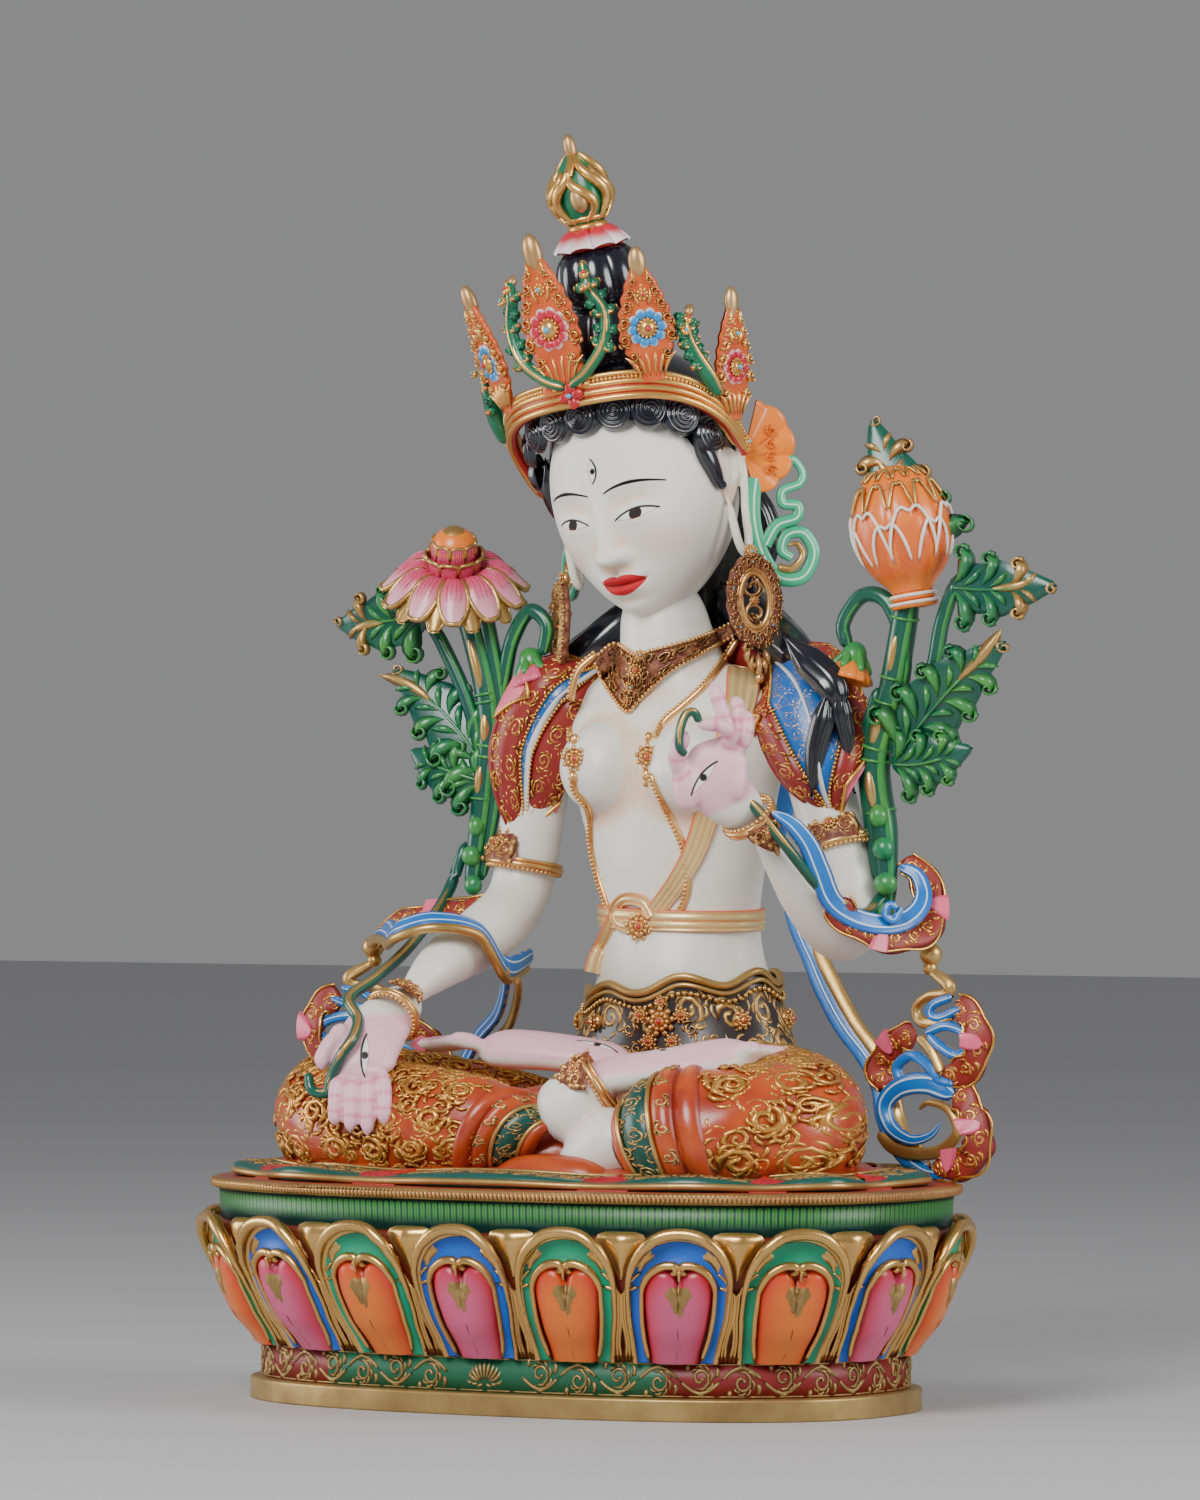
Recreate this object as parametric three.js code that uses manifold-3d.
// A painted copper figure of the White Tara, seated cross-legged on an oval lotus base.
// The right hand hangs open over the knee, the left is raised before the breast, and each holds
// the stem of a lotus that stands at the shoulder. Crown, earrings, lotuses, scarves and base are
// castings of their own, fitted to the figure. +Z is up, the figure faces -Y and its left is +X.
// The origin is on the ground under the middle of the base. All sizes are in millimetres.
import * as THREE from "three";
import { mergeVertices } from "three/addons/utils/BufferGeometryUtils.js";
import Module from "manifold-3d";

const wasm = await Module();
wasm.setup();

// The base: a long oval, set out at its beaded rim.
const BASE_LENGTH = 316;
const BASE_DEPTH = 196;
const BASE_ROUNDNESS = 2.5; // exponent of the oval: 2 is an ellipse
const FOOT_HEIGHT = 9;
const FOOT_INSET = 16;
const BAND_HEIGHT = 14;
const BAND_INSET = 21;
const PETAL_HEIGHT = 50;
const PETAL_FLARE = 5; // how far the petals' lips stand out past the rim
const PETAL_COUNT = 18;
const PETAL_SIDES = 4; // faces round each petal
const COLLAR_HEIGHT = 12;
const COLLAR_INSET = 4;
const RIM_HEIGHT = 4.4;
const RIM_ROUNDING = 2.2;
const SEAT_GAP = 0.3; // the figure stands free on the base

// The figure: its height from the seat to the top of the crown jewel. Its pose, proportions and
// carving are counted in parts of that height, as an icon maker counts finger breadths.
const FIGURE_HEIGHT = 414;
const PART_COUNT = 414;
const FIT_GAP = 0.35; // between castings that are fitted together
const LIMB_SIDES = 7;
const FINGER_SIDES = 5;
const FINGER_RADIUS = 3.6; // in parts
const APRON_THICKNESS = 5; // in parts
const APRON_WAVES = 11;
const CROWN_LEAF_THICKNESS = 3.2; // in parts

const part = FIGURE_HEIGHT / PART_COUNT;
const bandBottom = FOOT_HEIGHT;
const petalBottom = bandBottom + BAND_HEIGHT;
const petalTop = petalBottom + PETAL_HEIGHT;
const collarTop = petalTop + COLLAR_HEIGHT;
const baseHeight = collarTop + RIM_HEIGHT;
const seat = baseHeight + SEAT_GAP;

const at = (x, y, z) => new THREE.Vector3(x * part, y * part, seat + z * part);
const copper = (color, roughness = 0.45, metalness = 0.1) =>
  new THREE.MeshStandardMaterial({ color, roughness, metalness });

// How much every shape is swollen while it is made: used to cut a fitted gap into a neighbour.
let swell = 0;

// A closed three.js geometry as a solid, with its faces turned outwards.
function solid(geometry) {
  const bare = geometry.clone();
  bare.deleteAttribute("normal");
  bare.deleteAttribute("uv");
  const merged = mergeVertices(bare, 1e-3);
  if (swell) {
    merged.computeVertexNormals();
  }
  const points = new Float32Array(merged.attributes.position.array);
  const triangles = new Uint32Array(merged.index.array);
  const made = (positions) =>
    new wasm.Manifold(
      new wasm.Mesh({ numProp: 3, vertProperties: positions, triVerts: triangles }),
    );
  let body = made(points);
  const inward = body.volume() < 0;
  if (inward) {
    for (let i = 0; i < triangles.length; i += 3) {
      [triangles[i], triangles[i + 1]] = [triangles[i + 1], triangles[i]];
    }
  }
  if (swell) {
    const out = (inward ? -1 : 1) * swell;
    points.forEach((value, i) => {
      points[i] = value + merged.attributes.normal.array[i] * out;
    });
  }
  if (inward || swell) {
    body = made(points);
  }
  return body;
}

const joined = (...shapes) => shapes.flat(3).reduce((whole, next) => whole.add(next));

// What a builder makes, swollen by a gap, to be cut out of the piece that is fitted to it.
function roomFor(builder, gap = FIT_GAP) {
  swell = gap;
  const shape = builder();
  swell = 0;
  return shape;
}

// All the space below a height.
function below(height) {
  const size = 2 * BASE_LENGTH;
  return wasm.Manifold.cube([size, size, size], true).translate(0, 0, height - size / 2);
}

// The largest body of a solid that a cut has left in more than one.
function largest(shape) {
  return shape.decompose().sort((a, b) => b.volume() - a.volume())[0];
}

function node(name, shape, material) {
  const mesh = shape.getMesh();
  const geometry = new THREE.BufferGeometry();
  geometry.setAttribute("position", new THREE.BufferAttribute(mesh.vertProperties, 3));
  geometry.setIndex(new THREE.BufferAttribute(mesh.triVerts, 1));
  const made = new THREE.Mesh(geometry, material);
  made.name = name;
  return made;
}

// A ball of `columns` by `rows` faces, each point of it moved by shape(x, y, z) to its own place.
function moulded(columns, rows, shape) {
  const ball = new THREE.SphereGeometry(1, columns, rows);
  const { position } = ball.attributes;
  for (let i = 0; i < position.count; i += 1) {
    const p = shape(position.getX(i), position.getY(i), position.getZ(i));
    position.setXYZ(i, p.x, p.y, p.z);
  }
  return solid(ball);
}

const ellipsoid = (centre, rx, ry, rz, columns = 12, rows = 8) =>
  moulded(columns, rows, (x, y, z) =>
    new THREE.Vector3(x * rx, z * ry, y * rz).multiplyScalar(part).add(centre));

// Reads a list of values, spread evenly from 0 to 1, at t.
function along(values, t) {
  const place = Math.min(Math.max(t, 0), 1) * (values.length - 1);
  const low = Math.min(Math.floor(place), values.length - 2);
  return THREE.MathUtils.lerp(values[low], values[low + 1], place - low);
}

// A round-ended limb along a smooth path. Radii are in parts and flat is thickness over width. A
// flat limb faces the direction `face`, or has its width along `across`.
function limb(path, radii, options = {}) {
  const { sides = LIMB_SIDES, rows = 7, flat = 1, face = null, across = null } = options;
  const curve = new THREE.CatmullRomCurve3(path);
  return moulded(sides, rows, (x, y, z) => {
    const height = THREE.MathUtils.clamp(y, -1, 1);
    const t = 1 - Math.acos(height) / Math.PI;
    const around = Math.sqrt(Math.max(1 - height * height, 1e-9));
    const full = Math.sqrt(Math.max(1 - height ** 6, 0));
    const ahead = curve.getTangent(t);
    const hint = face ?? new THREE.Vector3(0.31, 0.95, 0.11);
    const wide = across?.clone() ?? new THREE.Vector3().crossVectors(hint, ahead).normalize();
    const thin = new THREE.Vector3().crossVectors(ahead, wide).normalize();
    const radius = along(radii, t) * part * full;
    return curve
      .getPoint(t)
      .addScaledVector(wide, (x / around) * radius)
      .addScaledVector(thin, (z / around) * radius * flat);
  });
}

// A solid through rings of equally many points, listed upwards and turning to the left.
function loft(rings) {
  const sides = rings[0].length;
  const middle = (points) =>
    points.reduce((sum, p) => sum.add(p), new THREE.Vector3()).divideScalar(sides);
  const points = [...rings.flat(), middle(rings[0]), middle(rings.at(-1))];
  const corner = (level, i) => level * sides + (i % sides);
  const top = rings.length - 1;
  const index = [];
  for (let i = 0; i < sides; i += 1) {
    index.push(points.length - 2, corner(0, i + 1), corner(0, i));
    index.push(points.length - 1, corner(top, i), corner(top, i + 1));
    for (let k = 0; k < top; k += 1) {
      index.push(corner(k, i), corner(k, i + 1), corner(k + 1, i + 1));
      index.push(corner(k, i), corner(k + 1, i + 1), corner(k + 1, i));
    }
  }
  return solid(new THREE.BufferGeometry().setFromPoints(points).setIndex(index));
}

// A ring of round wire, such as a bracelet, round an axis.
function ring(centre, axis, radius, wire, squash = 1) {
  const torus = new THREE.TorusGeometry(radius * part, wire * part, 4, 9);
  torus.scale(1, squash, 1);
  const turn = new THREE.Quaternion().setFromUnitVectors(
    new THREE.Vector3(0, 0, 1), axis.clone().normalize());
  return solid(torus.applyQuaternion(turn).translate(centre.x, centre.y, centre.z));
}

// Sets a flat shape, drawn in x and y about its foot, up at a place: y runs along `up`, and the
// plate faces `out`.
function plate(shape, thickness, foot, up, out) {
  const body = new THREE.ExtrudeGeometry(shape, {
    depth: thickness * part, bevelEnabled: false, curveSegments: 4,
  });
  body.translate(0, 0, (-thickness * part) / 2);
  const side = new THREE.Vector3().crossVectors(up, out).normalize();
  const facing = new THREE.Vector3().crossVectors(side, up).normalize();
  const frame = new THREE.Matrix4().makeBasis(side, up.clone().normalize(), facing);
  return solid(body.applyMatrix4(frame.setPosition(foot)));
}

// The outline of a carved leaf: pointed, widest at `belly` of its height, with scrolled lobes.
function leafShape(width, height, lobes, belly = 0.35) {
  const steps = lobes * 2;
  const half = (t) => {
    const swellOut = Math.sin(Math.PI * t ** (Math.log(0.5) / Math.log(belly)));
    const scroll = 0.82 + 0.18 * Math.abs(Math.sin(Math.PI * lobes * t));
    return ((width * part) / 2) * (0.2 + 0.8 * swellOut) * scroll * (1 - t ** 6);
  };
  const rise = Array.from({ length: steps }, (_, i) => i / steps);
  const right = rise.map((t) => new THREE.Vector2(half(t), t * height * part));
  const left = rise.map((t) => new THREE.Vector2(-half(t), t * height * part)).reverse();
  return new THREE.Shape([...right, new THREE.Vector2(0, height * part), ...left]);
}

// The base

// A point of the base's oval at turn t, set in from the rim.
function oval(t, inset, z) {
  const power = 2 / BASE_ROUNDNESS;
  const share = (v) => Math.sign(v) * Math.abs(v) ** power;
  return new THREE.Vector3(
    (BASE_LENGTH / 2 - inset) * share(Math.cos(t)),
    (BASE_DEPTH / 2 - inset) * share(Math.sin(t)),
    z,
  );
}

// Reads the turn of the oval at a petal's place, with the petals spaced evenly along the rim and
// the first one in the middle of the front.
function petalTurns() {
  const fine = 2000;
  const turnAt = (i) => -Math.PI / 2 + (2 * Math.PI * i) / fine;
  const run = [0];
  for (let i = 1; i <= fine; i += 1) {
    run.push(run[i - 1] + oval(turnAt(i), 0, 0).distanceTo(oval(turnAt(i - 1), 0, 0)));
  }
  return (place) => {
    const wanted = (((place / PETAL_COUNT) % 1) + 1) % 1 * run[fine];
    const i = run.findIndex((length) => length > wanted) - 1;
    return turnAt(i + (wanted - run[i]) / (run[i + 1] - run[i]));
  };
}

// The base from the ground up: how far each ring is set in, its height, and how deep the valleys
// between the petals are there. Positive steps through the petals give a swelling wall.
const petalZ = (share) => petalBottom + share * PETAL_HEIGHT;
const BASE_RINGS = [
  [FOOT_INSET, 0, 0],
  [FOOT_INSET, FOOT_HEIGHT, 0],
  [BAND_INSET, FOOT_HEIGHT, 0],
  [BAND_INSET, petalBottom, 0],
  [BAND_INSET - 9, petalZ(0.2), 3],
  [-PETAL_FLARE + 7, petalZ(0.48), 6],
  [-PETAL_FLARE - 1, petalZ(0.82), 6],
  [0, petalTop, 3],
  [COLLAR_INSET + 1, petalTop - 3, 0],
  [COLLAR_INSET, collarTop, 0],
  [0, collarTop, 0],
  [0, baseHeight - RIM_ROUNDING, 0],
  [RIM_ROUNDING, baseHeight, 0],
];

function lotusBase() {
  const turnOf = petalTurns();
  const rings = BASE_RINGS.map(([inset, z, valley]) =>
    Array.from({ length: PETAL_COUNT * PETAL_SIDES }, (_, i) => {
      const fromMiddle = Math.abs(((i / PETAL_SIDES + 0.5) % 1) - 0.5) * 2;
      const hollow = valley * fromMiddle ** 3;
      const lowered = z > petalZ(0.8) && valley ? hollow : 0;
      return oval(turnOf(i / PETAL_SIDES), inset + hollow, z - lowered);
    }));
  return loft(rings);
}

// The figure

const twist = THREE.MathUtils.degToRad(-6); // the torso turns a little to its right
const leftward = new THREE.Vector3(Math.cos(twist), Math.sin(twist), 0);
const forward = new THREE.Vector3(Math.sin(twist), -Math.cos(twist), 0);
const upward = new THREE.Vector3(0, 0, 1);
const wristR = at(-64, -42, 70);
const wristL = at(88, -32, 147);
const elbowR = at(-60, 50, 104);
const elbowL = at(99, 44, 97);

// The head has its own frame: its middle, and axes that lean to the right and bow forward.
const headMiddle = at(0, 50, 276);
const headLean = THREE.MathUtils.degToRad(-9);
const headBow = THREE.MathUtils.degToRad(10);
const headTurn = new THREE.Matrix4().makeRotationFromEuler(
  new THREE.Euler(headBow, headLean, 0, "YXZ"));
const onHead = (x, y, z) => new THREE.Vector3(x, y, z)
  .multiplyScalar(part).applyMatrix4(headTurn).add(headMiddle);
const headWay = (x, y, z) => new THREE.Vector3(x, y, z).applyMatrix4(headTurn).normalize();

// The trunk is a stack of ovals: height, middle x, middle y, half width, half depth.
const TRUNK = [
  [2, 13, 54, 50, 34], [50, 13, 60, 48, 32], [76, 12, 61, 39, 30],
  [98, 11, 62, 34, 28], [125, 11, 59, 38, 29], [150, 11, 57, 45, 30], [172, 11, 56, 50, 29],
  [190, 10, 57, 48, 23], [208, 9, 58, 30, 16],
];
const TRUNK_SIDES = 11;

function trunk() {
  return loft(TRUNK.map(([height, mx, my, half, depth]) =>
    Array.from({ length: TRUNK_SIDES }, (_, i) => {
      const turn = (2 * Math.PI * i) / TRUNK_SIDES;
      return at(mx, my, height)
        .addScaledVector(leftward, Math.cos(turn) * half * part)
        .addScaledVector(forward, -Math.sin(turn) * depth * part);
    })));
}

function breasts() {
  return [-19, 19].map((side) => {
    const middle = at(12, 55, 166)
      .addScaledVector(leftward, side * part)
      .addScaledVector(forward, 22 * part);
    return ellipsoid(middle, 18, 17, 19, 8, 6);
  });
}

function head() {
  const face = moulded(11, 8, (x, y, z) => {
    const jaw = y < 0 ? 1 - 0.22 * y * y : 1;
    return onHead(x * 37 * jaw, -z * 41 * jaw, y * 50);
  });
  const nose = limb([onHead(0, -37, 8), onHead(0, -43, -8), onHead(0, -40, -15)], [2.5, 4, 5],
    { sides: 5, rows: 4 });
  const ears = [-1, 1].map((side) =>
    limb([onHead(side * 38, 2, 18), onHead(side * 41, 5, 6), onHead(side * 40, 3, -10),
      onHead(side * 40, 0, -28)], [5, 9, 5, 4],
    { sides: 6, rows: 6, flat: 0.5, face: headWay(1, 0, 0) }));
  const neck = limb([at(10, 55, 200), at(7, 54, 224), at(2, 52, 256)], [22, 21, 21], { rows: 5 });
  return [face, nose, ears, neck];
}

function hair() {
  const cap = moulded(9, 7, (x, y, z) => onHead(x * 40, -z * 40 + 9, y * 46 + 11));
  const bun = limb([onHead(0, 6, 48), onHead(0, 4, 78)], [22, 16], { sides: 8, rows: 4 });
  const knot = ellipsoid(onHead(0, 2, 90), 18, 18, 17, 8, 5);
  const back = limb([onHead(2, 34, 0), at(6, 84, 236), at(9, 88, 205), at(10, 88, 172)],
    [27, 24, 27, 14], { flat: 0.4, face: forward, rows: 6, sides: 8 });
  const lock = (path, radii) => limb(path, radii, { sides: 5, rows: 5 });
  const left = lock([at(8, 80, 236), at(44, 72, 220), at(76, 58, 204), at(84, 50, 178),
    at(86, 46, 150)], [12, 10, 10, 7, 3]);
  const right = lock([at(0, 80, 236), at(-26, 72, 216), at(-54, 66, 198), at(-63, 58, 178),
    at(-66, 54, 156)], [12, 9, 9, 6, 3]);
  return [cap, bun, knot, back, left, right];
}

// Each finger: where it starts, its middle joint and its tip, in parts. The thumb comes last.
const FINGERS_R = [
  [[-74, -55, 46], [-79, -62, 27], [-80, -65, 18]],
  [[-68, -56, 46], [-71, -63, 25], [-72, -67, 15]],
  [[-63, -56, 47], [-62, -64, 25], [-62, -68, 13]],
  [[-58, -56, 48], [-53, -64, 29], [-52, -67, 20]],
  [[-70, -50, 58], [-84, -57, 47], [-84, -62, 38]],
];
const FINGERS_L = [
  [[80, -37, 172], [78, -43, 192], [75, -47, 206]],
  [[77, -38, 172], [70, -54, 189], [59, -60, 186]],
  [[84, -36, 172], [88, -42, 190], [89, -44, 199]],
  [[86, -34, 168], [91, -38, 184], [92, -39, 192]],
  [[74, -40, 160], [56, -54, 174], [57, -60, 184]],
];

function hands() {
  const fingers = [...FINGERS_R, ...FINGERS_L].map((joints, i) => {
    const fat = FINGER_RADIUS * (i % 5 === 4 ? 1.25 : 1);
    return limb(joints.map((joint) => at(...joint)), [fat * 1.05, fat, fat * 0.75],
      { sides: FINGER_SIDES, rows: 3 });
  });
  const palm = { sides: 6, rows: 5, flat: 0.5, face: forward };
  return [
    fingers,
    limb([wristR, at(-66, -50, 58), at(-66, -59, 34)], [9, 15, 13], palm),
    limb([wristL, at(80, -37, 160), at(81, -38, 184)], [9, 15, 12], palm),
  ];
}

function arms() {
  return [
    limb([at(-26, 58, 182), at(-50, 58, 182), at(-56, 56, 146), at(-60, 51, 112),
      at(-61, 24, 96), at(-63, -12, 82), at(-65, -54, 58)], [16, 17, 15, 14, 15, 13, 9],
    { rows: 9 }),
    limb([at(44, 56, 188), at(68, 54, 186), at(84, 50, 148), at(96, 46, 108),
      at(100, 30, 100), at(96, 2, 118), at(84, -38, 162)], [16, 17, 15, 14, 15, 13, 9],
    { rows: 9 }),
  ];
}

// Crossed legs in their cloth: each runs from the hip over the knee to the ankle.
function legs() {
  return [
    limb([at(0, 54, 24), at(-48, 24, 24), at(-90, 0, 23), at(-102, -18, 21), at(-80, -36, 20),
      at(-40, -46, 19), at(4, -48, 17)], [30, 30, 28, 26, 24, 22, 17], { rows: 8 }),
    limb([at(26, 54, 24), at(66, 24, 25), at(96, 0, 24), at(103, -18, 22), at(84, -36, 21),
      at(56, -46, 20), at(28, -48, 17)], [30, 30, 28, 26, 25, 23, 17], { rows: 8 }),
    limb([at(-22, -50, 12), at(-4, -52, 24), at(14, -46, 34), at(34, -38, 43)], [16, 16, 13, 10],
      { rows: 6, sides: 8 }),
  ];
}

function feet() {
  const sole = { sides: 7, rows: 5, flat: 0.55, face: upward };
  return [
    limb([at(26, -40, 43), at(50, -26, 47), at(74, -12, 50), at(96, 0, 52)], [11, 12, 13, 9], sole),
    limb([at(12, 14, 47), at(-12, 8, 50), at(-36, 6, 51), at(-60, 6, 50)], [11, 12, 13, 9], sole),
  ];
}

// The cloth that spreads on the seat, with a waving hem, and the folds that fall in front.
function apron() {
  const points = Array.from({ length: APRON_WAVES * 3 }, (_, i) => {
    const t = (2 * Math.PI * i) / (APRON_WAVES * 3);
    const wave = 1 + 0.02 * Math.sin(APRON_WAVES * t);
    const share = (v) => Math.sign(v) * Math.abs(v) ** 0.8;
    return new THREE.Vector2(146 * share(Math.cos(t)) * wave, 82 * share(Math.sin(t)) * wave - 2);
  }).map((p) => p.multiplyScalar(part));
  const cloth = new THREE.ExtrudeGeometry(new THREE.Shape(points), {
    depth: APRON_THICKNESS * part, bevelEnabled: false,
  });
  const fold = { sides: 6, rows: 5, flat: 0.5, face: new THREE.Vector3(0, -1, 0.8) };
  return [
    solid(cloth.translate(0, 0, seat)),
    limb([at(-8, -34, 44), at(-22, -60, 26), at(-44, -72, 7)], [7, 9, 8], fold),
    limb([at(24, -50, 30), at(22, -66, 20), at(20, -75, 6)], [6, 7, 9], fold),
  ];
}

// The shawl: a sleeve over each upper arm, and a cape that hangs down the back.
function shawl() {
  const sleeve = { rows: 5 };
  return [
    limb([at(-34, 66, 200), at(-58, 61, 166), at(-64, 56, 118)], [20, 22, 19], sleeve),
    limb([at(54, 62, 204), at(80, 53, 172), at(96, 48, 128)], [20, 22, 18], sleeve),
    limb([at(-34, 76, 190), at(10, 86, 186), at(56, 72, 196)], [24, 30, 24],
      { flat: 0.35, face: forward, rows: 5 }),
    limb([at(10, 84, 190), at(12, 88, 150), at(12, 86, 112)], [44, 38, 16],
      { flat: 0.2, face: forward, rows: 5 }),
  ];
}

function jewellery() {
  const span = (from, to) => to.clone().sub(from);
  const pendant = new THREE.Shape([
    new THREE.Vector2(-26, 14), new THREE.Vector2(-20, 0), new THREE.Vector2(0, -20),
    new THREE.Vector2(20, 0), new THREE.Vector2(26, 14), new THREE.Vector2(0, 8),
  ].map((p) => p.multiplyScalar(part)));
  return [
    ring(at(10, 55, 206), new THREE.Vector3(0, 0.25, 1), 23, 3),
    plate(pendant, 4, at(9, 30, 196), new THREE.Vector3(0, 0.42, 1), forward),
    ring(wristR.clone().lerp(elbowR, 0.12), span(wristR, elbowR), 11, 2.2),
    ring(wristL.clone().lerp(elbowL, 0.12), span(wristL, elbowL), 11, 2.2),
    ring(at(22, -43, 38), new THREE.Vector3(0.8, 0.4, 0.45), 13, 2.2),
    ring(at(13, 60, 72), new THREE.Vector3(0, 0.15, 1), 42, 2.6, 0.8),
    limb([at(6, 29, 72), at(6, 26, 60), at(6, 24, 48)], [14, 11, 5], { flat: 0.4, rows: 4,
      face: forward }),
  ];
}

function figure() {
  const whole = joined(trunk(), breasts(), head(), hair(), arms(), hands(), legs(), feet(),
    apron(), shawl(), jewellery());
  return largest(whole.subtract(below(seat)));
}

// The crown

// The crown leans with the head but bows less. Its band dips towards the ears.
const crownMiddle = at(-8, 44, 317);
const crownTurn = new THREE.Matrix4().makeRotationFromEuler(
  new THREE.Euler(THREE.MathUtils.degToRad(5), THREE.MathUtils.degToRad(-9.8), 0, "YXZ"));
const CROWN_WIDTH = 96; // in parts, across the band
const CROWN_DEPTH = 85;
const CROWN_DIP = 25;
const CROWN_END = 97; // degrees from the front to each end of the band

// A place on the crown: turn from the front in degrees, height over the band, lean outwards.
function onCrown(degrees, height = 0, lean = 0) {
  const turn = THREE.MathUtils.degToRad(degrees);
  const dip = CROWN_DIP * Math.abs(degrees / 90) ** 2.9;
  return new THREE.Vector3(
    (CROWN_WIDTH / 2 + lean) * Math.sin(turn),
    -(CROWN_DEPTH / 2 + lean) * Math.cos(turn),
    height - dip,
  ).multiplyScalar(part).applyMatrix4(crownTurn).add(crownMiddle);
}

// Each leaf: turn, width, height, lean at the tip. Five tall ones, and small ones between them.
const CROWN_LEAVES = [
  [0, 25, 63, 8], [-43, 23, 53, 11], [43, 23, 53, 12], [-88, 20, 52, 13], [88, 20, 52, 12],
];
const CROWN_SPRIGS = [[-20, 9, 48, 4], [20, 9, 48, 4], [-64, 11, 26, 9], [64, 11, 26, 9]];

function crown() {
  const band = [-1, -0.82, -0.62, -0.37, 0, 0.37, 0.62, 0.82, 1].map((share) =>
    onCrown(share * CROWN_END));
  const leaf = ([degrees, width, height, lean], lobes, belly) => {
    const up = onCrown(degrees, height, lean).sub(onCrown(degrees));
    const out = onCrown(degrees, 0, 10).sub(onCrown(degrees));
    return plate(leafShape(width, up.length() / part, lobes, belly), CROWN_LEAF_THICKNESS,
      onCrown(degrees, 0, -0.5), up, out);
  };
  const upright = upward.clone().applyMatrix4(crownTurn);
  return [
    limb(band, [5, 5], { sides: 5, rows: 12, flat: 0.5, across: upright }),
    CROWN_LEAVES.map((size) => leaf(size, 3, 0.4)),
    CROWN_SPRIGS.map((size) => leaf(size, 2, 0.5)),
  ];
}

// Where each ribbon starts, from the end of the crown's band.
const RIBBON_START = {
  left: new THREE.Vector3(1.9, 9.1, 0),
  right: new THREE.Vector3(10.8, 12.1, -5),
};

// The ribbon knot behind each ear: a pleated fan, a tie that falls, and its curling end. It stands
// in a plane that runs outwards and back from the ear.
function earRibbon(side) {
  const tip = onCrown(side * CROWN_END);
  const start = new THREE.Vector3(tip.x, tip.y, seat)
    .add(RIBBON_START[side > 0 ? "left" : "right"].clone().multiplyScalar(part));
  const back = new THREE.Vector3(side * Math.SQRT1_2, Math.SQRT1_2, 0);
  const place = (out, z) =>
    start.clone().addScaledVector(back, out * part).add(new THREE.Vector3(0, 0, z * part));
  const curl = Array.from({ length: 8 }, (_, i) => {
    const turn = 2.4 + i * 0.8;
    const radius = 11.5 - i * 0.9;
    return place(13 + radius * Math.cos(turn), 252 + radius * Math.sin(turn));
  });
  const out = new THREE.Vector3(side, -1, 0);
  const ribbon = { sides: 6, flat: 0.6, face: out };
  return [
    plate(leafShape(21, 36, 3, 0.62), 5, place(1, 279), new THREE.Vector3(0.1 * side, 0.1, 1), out),
    limb([place(0, 286), place(0, 268), place(3, 254)], [3, 3, 4], { sides: 5, rows: 4 }),
    limb(curl, [5, 4], { ...ribbon, rows: 9 }),
    limb([place(8, 262), place(19, 268), place(11, 276), place(20, 284), place(16, 290)],
      [5, 5, 4, 3], { ...ribbon, rows: 7 }),
  ];
}

// A hanging ear disc: an oval frame with open work inside, and a drop below.
function earring(side) {
  const top = side > 0 ? at(48, 50, 251) : at(-35, 60, 242);
  const foot = side > 0 ? at(55, 48, 206) : at(-49, 48, 190);
  const up = top.clone().sub(foot);
  const disc = new THREE.Shape().absellipse(0, 0, 13 * part, 22 * part, 0, 2 * Math.PI);
  [-9, 9].forEach((lift) => {
    const eye = new THREE.Path();
    eye.absellipse(0, lift * part, 6 * part, 5 * part, 0, 2 * Math.PI);
    disc.holes.push(eye);
  });
  const middle = foot.clone().lerp(top, 0.5);
  return [
    plate(disc, 4, middle, up, new THREE.Vector3(side, -1, 0)),
    limb([foot.clone().lerp(top, 0.1), foot.clone().lerp(top, -0.28)], [6, 3.5],
      { sides: 5, rows: 4 }),
  ];
}

// The jewel on the topknot: a ring of petals, a collar and a flaming bud.
function topknotJewel() {
  const profile = [
    [0, 100], [14, 101], [15, 104], [7, 110], [7, 114], [10, 119], [12, 127], [9, 136],
    [0, 142],
  ].map(([radius, height]) => new THREE.Vector2(radius, height).multiplyScalar(part));
  const turned = new THREE.LatheGeometry(profile, 9).rotateX(Math.PI / 2);
  return solid(turned.applyMatrix4(headTurn).translate(...headMiddle.toArray()));
}

// The lotuses at the shoulders

const facing = new THREE.Vector3(0.45, -0.9, 0);
const sprayStem = { sides: 5, rows: 6 };

// The thin stem that runs from the hand along the forearm to the foot of the spray.
const heldStem = (path) => limb(path, [2.4, 2.6, 3, 4], { sides: 4, rows: 7 });

// A scrolled leaf that stands from one place to another.
function sprayLeaf(root, tip, width, lobes = 2) {
  const up = tip.clone().sub(root);
  return plate(leafShape(width, up.length() / part, lobes, 0.55), 6, root, up, facing);
}

// A flower or bud turned from its profile, bowed a little, with its middle at a place.
function blossom(profile, sides, bow, middle) {
  const points = profile.map(([r, z]) => new THREE.Vector2(r, z).multiplyScalar(part));
  const turned = new THREE.LatheGeometry(points, sides).rotateX(Math.PI / 2);
  turned.applyQuaternion(new THREE.Quaternion().setFromEuler(bow));
  return solid(turned.translate(...middle.toArray()));
}

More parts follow.
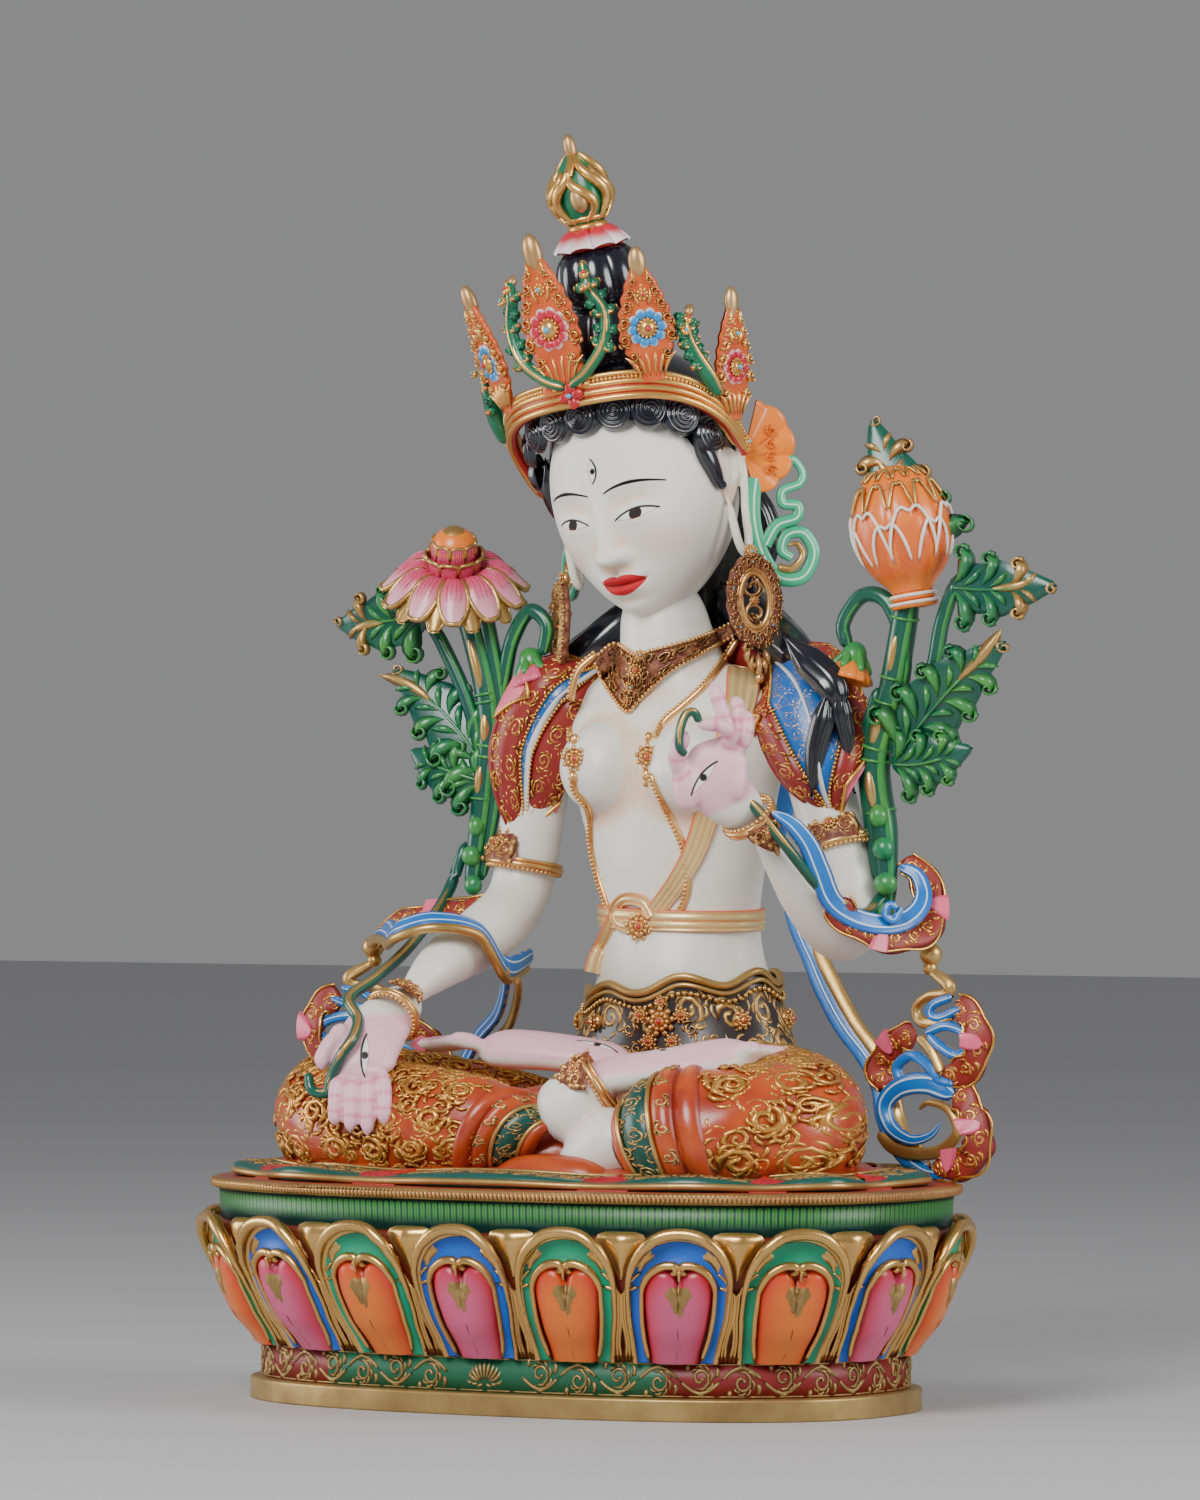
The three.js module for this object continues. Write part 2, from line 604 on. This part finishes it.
function lotusRight() {
  return [
    blossom([[0, -6], [20, -8], [29, -4], [22, 4], [14, 7], [12, 14], [0, 20]], 11,
      new THREE.Euler(0.3, -0.08, 0), at(-87, 46, 240)),
    heldStem([at(-79, -64, 50), at(-71, -68, 62), at(-76, -56, 78), at(-80, -28, 88),
      at(-82, 6, 98), at(-84, 36, 108), at(-79, 54, 132)]),
    limb([at(-81, 48, 114), at(-76, 50, 155), at(-73, 50, 190), at(-86, 47, 244)],
      [4, 7, 7, 6], sprayStem),
    limb([at(-72, 50, 172), at(-66, 50, 202), at(-62, 50, 216), at(-54, 50, 228),
      at(-45, 50, 222), at(-50, 50, 202)], [4, 4, 4, 4, 4, 4], { sides: 5, rows: 8 }),
    ellipsoid(at(-55, 50, 202), 7, 7, 9, 6, 5),
    limb([at(-76, 50, 182), at(-95, 48, 214), at(-108, 47, 230), at(-122, 46, 234)],
      [4, 4, 4, 4], sprayStem),
    sprayLeaf(at(-114, 46, 236), at(-143, 45, 224), 20),
    sprayLeaf(at(-74, 50, 168), at(-110, 46, 172), 24),
    sprayLeaf(at(-94, 48, 170), at(-119, 46, 204), 20),
  ];
}

function lotusLeft() {
  return [
    blossom([[0, -26], [8, -25], [17, -6], [19, 6], [16, 18], [0, 31]], 9,
      new THREE.Euler(0.05, -0.1, 0), at(122, 46, 258)),
    heldStem([at(66, -54, 186), at(78, -48, 170), at(95, -32, 154), at(107, -6, 134),
      at(114, 20, 112), at(116, 42, 108), at(111, 51, 132)]),
    limb([at(113, 48, 110), at(110, 50, 138), at(106, 50, 166), at(114, 49, 194),
      at(125, 47, 250)], [3, 6, 8, 8, 7], { sides: 7, rows: 8 }),
    limb([at(110, 50, 172), at(121, 48, 206), at(114, 47, 229), at(100, 47, 232),
      at(93, 47, 220), at(96, 47, 204)], [4, 4, 4, 4, 4, 4], { sides: 5, rows: 8 }),
    ellipsoid(at(97, 47, 204), 9, 9, 9, 6, 5),
    limb([at(116, 50, 190), at(134, 49, 206), at(144, 48, 228), at(154, 48, 242)],
      [4, 4, 4, 5], sprayStem),
    sprayLeaf(at(150, 48, 238), at(190, 47, 238), 20),
    sprayLeaf(at(116, 50, 166), at(152, 48, 172), 24),
    sprayLeaf(at(134, 50, 174), at(167, 48, 214), 24),
    sprayLeaf(at(138, 50, 258), at(118, 49, 300), 18),
    sprayLeaf(at(128, 50, 288), at(104, 48, 304), 14),
  ];
}

// The scarves

// Where each scarf comes over the forearm to its knob, and where its tail falls to the base.
const SCARF_BOWS = {
  left: [[104, -8, 120], [116, 10, 106], [127, 32, 98], [131, 48, 97], [133, 55, 110],
    [124, 57, 126]],
  right: [[-46, 10, 84], [-54, -2, 103], [-74, -2, 101], [-94, 16, 98], [-116, 40, 97],
    [-133, 55, 88]],
};
const SCARF_TAILS = {
  left: [[48, 78, 122], [60, 70, 96], [74, 66, 64], [89, 65, 36]],
  right: [[-44, 12, 82], [-58, 32, 70], [-78, 50, 56], [-92, 60, 36]],
};

// A scarf end beside the knee: a bow at the forearm, a knob, a wavy fall, a scroll that stands on
// the base, and a tail. The scroll lies in a plane that runs out to the side and a little forward.
function scarf(side) {
  const name = side > 0 ? "left" : "right";
  const place = (out, z) => at(side * (98 + out), 62 - 0.32 * out, z);
  const band = { sides: 5, flat: 0.4, face: new THREE.Vector3(side * 0.3, -0.95, 0) };
  const scroll = Array.from({ length: 9 }, (_, i) => {
    const turn = -1.6 + i * 0.75;
    const radius = 17 - i * 1.6;
    return place(27 + radius * Math.cos(turn), 27 + radius * Math.sin(turn));
  });
  const tail = SCARF_TAILS[name].map((p) => at(...p));
  const bow = SCARF_BOWS[name].map((p) => at(...p));
  return [
    limb([...tail, place(2, 16), place(28, 6), place(42, 10)], [5, 7, 7, 8, 8, 6, 5],
      { ...band, rows: 8 }),
    limb(scroll, [6, 8, 7, 5], { ...band, rows: 9 }),
    limb([place(31, 92), place(28, 74), place(38, 66), place(44, 56), place(26, 48),
      place(20, 38)], [3, 5, 8, 9, 10, 8], { ...band, rows: 8 }),
    limb(bow, [4, 7, 9, 9, 8, 5], { ...band, face: new THREE.Vector3(side * 0.9, -0.4, 0),
      rows: 7 }),
    ellipsoid(place(31, 89), 4.5, 4.5, 4.5, 6, 4),
    limb([place(42, 46), place(54, 30), place(52, 14), place(34, 6)], [7, 9, 9, 6],
      { ...band, rows: 6 }),
  ];
}

// Fitting the castings to each other

const body = figure();
const bodyRoom = roomFor(figure);
const made = { lotus_base: lotusBase(), figure: body };
const rooms = [bodyRoom, below(seat)];
const fitted = (name, builder) => {
  const whole = () => joined(builder());
  made[name] = largest(rooms.reduce((shape, room) => shape.subtract(room), whole()));
  rooms.push(roomFor(whole));
};
fitted("crown", crown);
fitted("topknot_jewel", topknotJewel);
fitted("crown_ribbon_right", () => earRibbon(-1));
fitted("crown_ribbon_left", () => earRibbon(1));
fitted("earring_right", () => earring(-1));
fitted("earring_left", () => earring(1));
fitted("lotus_spray_right", lotusRight);
fitted("lotus_spray_left", lotusLeft);
fitted("scarf_right", () => scarf(-1));
fitted("scarf_left", () => scarf(1));

const COLOURS = {
  lotus_base: copper(0xc98f3f, 0.4, 0.4),
  figure: copper(0xe8e6da, 0.35, 0),
  crown: copper(0xc27a2e, 0.4, 0.5),
  topknot_jewel: copper(0xc9a860, 0.35, 0.7),
  crown_ribbon_right: copper(0xe57a1f),
  crown_ribbon_left: copper(0xe57a1f),
  earring_right: copper(0xa5714a, 0.35, 0.6),
  earring_left: copper(0xa5714a, 0.35, 0.6),
  lotus_spray_right: copper(0x1f7a45),
  lotus_spray_left: copper(0x1f7a45),
  scarf_right: copper(0x1f7fd0),
  scarf_left: copper(0x1f7fd0),
};

const tara = new THREE.Group();
Object.entries(made).forEach(([name, shape]) => tara.add(node(name, shape, COLOURS[name])));

export default tara;
